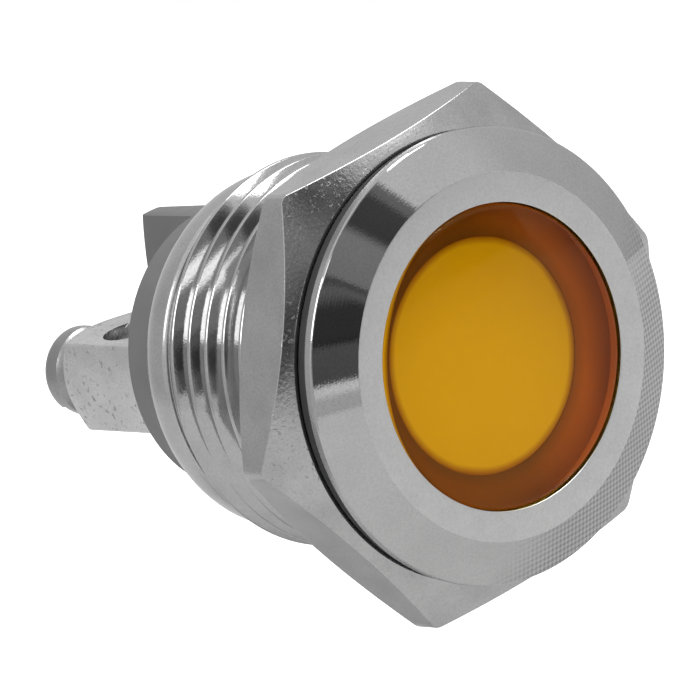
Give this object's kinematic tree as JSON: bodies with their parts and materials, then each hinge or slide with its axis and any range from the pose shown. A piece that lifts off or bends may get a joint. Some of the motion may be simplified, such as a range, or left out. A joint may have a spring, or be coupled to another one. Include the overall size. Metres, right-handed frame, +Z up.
{
  "type": "panel pilot light",
  "caption": "Metal panel pilot light with an amber lens, a threaded barrel with hexagonal lock nut, and a plastic base with square screw terminals.",
  "frame": {"origin": "on the lamp's axis, in the plane of the bezel's back, where the panel seal and the panel's front meet it", "axes": "+Y along the axis from the lens to the terminals, which is the way the lamp goes into the panel; +Z up, along the wire holes; the terminals stand at -X and +X"},
  "size_m": [0.0296, 0.033, 0.027],
  "materials": {
    "plated_shell": "bright nickel plate, satin on the bezel's flat ring",
    "plated_nut": "nickel plate over turned and milled faces",
    "plated_bar": "soft nickel plate with fine pits",
    "plated_screw": "bright zinc plate",
    "black_rubber": "matt moulded rubber",
    "amber_lens": "clear amber plastic, polished",
    "milky_amber": "translucent milky amber plastic",
    "dark_plastic": "dark moulded plastic",
    "board": "white solder mask",
    "chip_white": "white chip case",
    "can_metal": "plain drawn can",
    "pin_brass": "bright drawn brass",
    "grey_plastic": "mid grey moulded plastic, fine matt grain"
  },
  "bodies": {
    "lamp": {"housing_shell": "plated_shell", "panel_seal": "black_rubber", "lens": "amber_lens", "lens_seal": "black_rubber", "diffuser_disc": "milky_amber", "light_tube": "dark_plastic", "led_board": "board", "led_chip_1": "chip_white", "led_chip_2": "chip_white", "led_chip_3": "chip_white", "led_chip_4": "chip_white", "bridge_rectifier": "dark_plastic", "smoothing_capacitor": "can_metal", "dropper_resistor_left": "dark_plastic", "dropper_resistor_right": "dark_plastic", "contact_pin_left": "pin_brass", "contact_pin_right": "pin_brass", "spacer_sleeve": "grey_plastic", "base_seal": "black_rubber", "terminal_base": "grey_plastic", "terminal_bar_left": "plated_bar", "terminal_bar_right": "plated_bar"},
    "nut": {"lock_nut": "plated_nut"},
    "screw_left": {"terminal_screw_left": "plated_screw"},
    "screw_right": {"terminal_screw_right": "plated_screw"}
  },
  "joints": [
    {"name": "nut_travel", "type": "slide", "parent": "lamp", "child": "nut", "axis": [0, 1, 0], "range_m": [0, 0.0088]},
    {"name": "screw_left_travel", "type": "slide", "parent": "lamp", "child": "screw_left", "axis": [0, 1, 0], "range_m": [-0.0004, 0.0043]},
    {"name": "screw_right_travel", "type": "slide", "parent": "lamp", "child": "screw_right", "axis": [0, 1, 0], "range_m": [-0.0002, 0.0045]}
  ]
}
